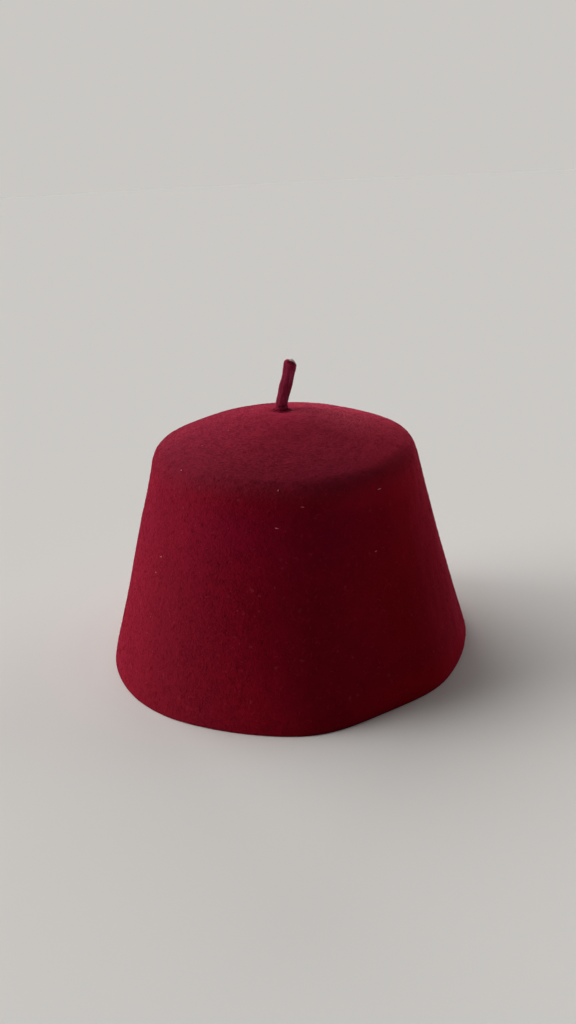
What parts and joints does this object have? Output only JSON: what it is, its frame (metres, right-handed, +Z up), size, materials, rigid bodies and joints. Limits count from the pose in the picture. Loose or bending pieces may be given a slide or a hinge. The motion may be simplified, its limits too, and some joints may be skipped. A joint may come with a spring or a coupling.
{
  "type": "fez hat",
  "caption": "Brimless blocked felt hat shaped like a truncated cone, open below, with a softly domed crown and a short felt stalk at its middle.",
  "frame": {"origin": "centre of the head opening, on the surface that the rim rests on", "axes": "+Z up along the hat's axis, through the middle of the crown; +X to the right and -Y towards the viewer, as the picture shows the hat"},
  "size_m": [0.1827, 0.1843, 0.1476],
  "materials": {
    "cap_felt": "matt dark red pressed wool felt, slightly fuzzy",
    "stalk_felt": "matt plum-red rolled wool felt, fibres along its length, pale core at the cut end"
  },
  "bodies": {
    "root": {"cap": "cap_felt", "stalk": "stalk_felt"}
  },
  "joints": []
}
